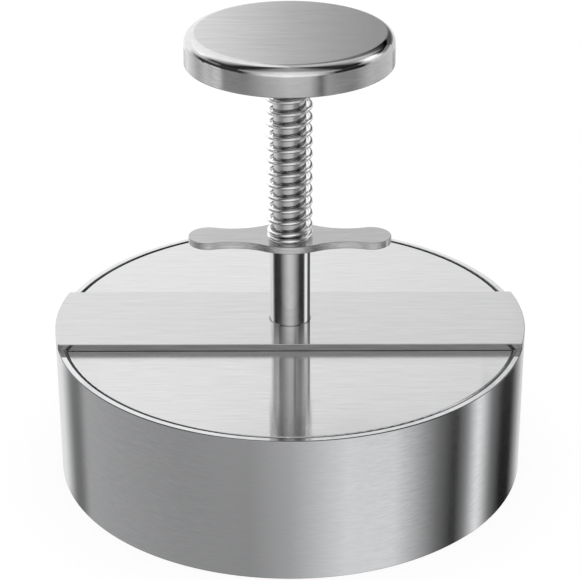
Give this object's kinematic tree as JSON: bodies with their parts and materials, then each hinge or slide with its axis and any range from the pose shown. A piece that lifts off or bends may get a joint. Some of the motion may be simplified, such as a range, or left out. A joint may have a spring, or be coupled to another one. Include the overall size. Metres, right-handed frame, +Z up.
{
  "type": "burger press",
  "caption": "Spring-loaded stainless steel burger press: an open round mould ring with a bridge bar, finger plate and knob, and a flat press plate that slides inside the ring.",
  "frame": {"origin": "centre of the mould ring's lower rim, on the surface that the press stands on", "axes": "+Z up along the rod, from the mould ring to the knob; +X along the bridge bar and the finger plate's lobes"},
  "size_m": [0.117, 0.117, 0.1139],
  "materials": {
    "brushed_sheet": "brushed stainless steel",
    "turned_steel": "brushed stainless steel with a polished edge",
    "polished_steel": "polished stainless steel",
    "spring_wire": "bright drawn stainless wire"
  },
  "bodies": {
    "frame": {"mould_ring": "brushed_sheet", "bridge_bar": "brushed_sheet", "guide_tube": "polished_steel", "finger_plate": "brushed_sheet"},
    "spring_end": {"return_spring": "spring_wire"},
    "plunger": {"push_rod": "polished_steel", "press_plate": "brushed_sheet", "plate_screw": "polished_steel", "knob": "turned_steel"}
  },
  "joints": [
    {"name": "press_stroke", "type": "slide", "parent": "frame", "child": "spring_end", "axis": [0, 0, -1], "range_m": [0, 0.0265], "stiffness_N_per_m": 1000, "springref_m": -0.01, "deforming": ["return_spring"]},
    {"name": "plunger_spin", "type": "hinge", "parent": "spring_end", "child": "plunger", "pos_m": [0, 0, 0.0369], "axis": [0, 0, 1], "continuous": true}
  ]
}
